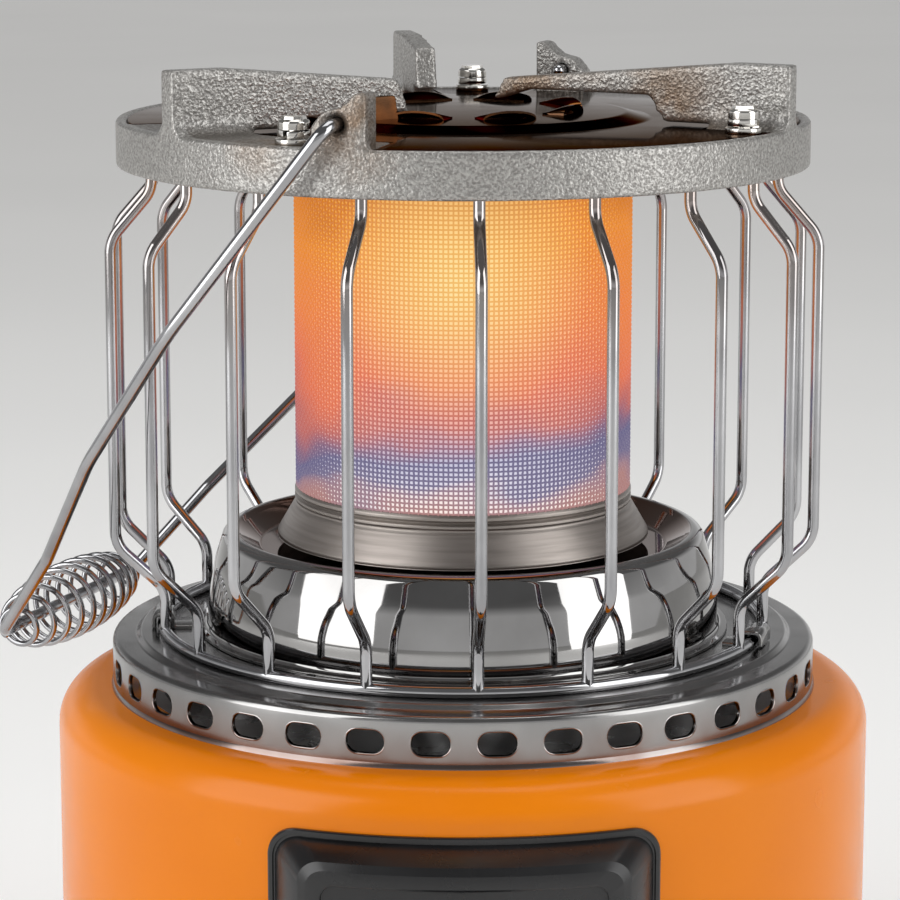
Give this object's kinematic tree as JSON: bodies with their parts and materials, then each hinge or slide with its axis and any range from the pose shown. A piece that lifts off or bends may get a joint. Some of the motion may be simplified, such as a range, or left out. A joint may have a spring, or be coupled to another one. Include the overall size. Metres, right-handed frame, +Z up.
{
  "type": "gas heater stove",
  "caption": "Tabletop gas heater with a drum body, a mesh burner in a wire guard, a cast pot support on top, a push-and-turn knob and a swinging wire bail.",
  "frame": {"origin": "centre of the base, on the surface it stands on", "axes": "+Z up, -Y towards the control knob, +Y towards the gas inlet"},
  "size_m": [0.2253, 0.2575, 0.294],
  "materials": {
    "orange_enamel": "gloss",
    "black_moulding": "gloss",
    "chrome_plate": "polished",
    "stainless_sheet": "satin",
    "tinted_plate": "polished, browned by heat",
    "glowing_gauze": "woven, glowing",
    "cast_aluminium": "as cast, sanded lands",
    "zinc_steel": "zinc plated",
    "brass": "machined",
    "gas_pipe": "drawn",
    "ceramic": "glazed",
    "dark_plastic": "matte",
    "rubber": "matte",
    "lead_sleeve": "satin"
  },
  "bodies": {
    "base": {"body_shell": "orange_enamel", "control_bezel": "black_moulding", "vent_ring": "chrome_plate", "reflector": "chrome_plate", "guard_lower_ring": "chrome_plate", "guard_bars": "chrome_plate", "ring_clips": "chrome_plate", "flat_washers": "chrome_plate", "spring_washers": "chrome_plate", "top_screws": "chrome_plate", "burner_cup": "stainless_sheet", "burner_cap": "stainless_sheet", "flame_liner": "stainless_sheet", "mixing_tube": "stainless_sheet", "top_plate": "tinted_plate", "burner_mesh": "glowing_gauze", "pot_support": "cast_aluminium", "gas_valve": "cast_aluminium", "base_pan": "zinc_steel", "base_screws": "zinc_steel", "bezel_screws": "zinc_steel", "valve_bracket": "zinc_steel", "bracket_screws": "zinc_steel", "valve_nut": "zinc_steel", "heat_shield": "zinc_steel", "thermocouple": "zinc_steel", "spark_electrode": "zinc_steel", "gas_inlet": "brass", "inlet_nut": "brass", "gas_jet": "brass", "supply_pipe": "gas_pipe", "burner_pipe": "gas_pipe", "electrode_insulator": "ceramic", "piezo_igniter": "dark_plastic", "foot_ring": "rubber", "ignition_lead": "lead_sleeve", "sensor_lead": "lead_sleeve"},
    "knob_plunger": {"spindle_sleeve": "brass"},
    "knob": {"control_knob": "black_moulding", "valve_spindle": "zinc_steel"},
    "bail": {"bail_wire": "chrome_plate", "grip_spring": "chrome_plate"}
  },
  "joints": [
    {"name": "knob_push", "type": "slide", "parent": "base", "child": "knob_plunger", "axis": [0, 1, 0], "range_m": [0, 0.003], "stiffness_N_per_m": 800, "springref_m": -0.001},
    {"name": "knob_turn", "type": "hinge", "parent": "knob_plunger", "child": "knob", "pos_m": [0, -0.1135, 0.08], "axis": [0, -1, 0], "range_deg": [0, 200]},
    {"name": "bail_swing", "type": "hinge", "parent": "base", "child": "bail", "pos_m": [0, 0, 0.284], "axis": [0.342, 0.9397, 0], "range_deg": [0, 282]}
  ]
}
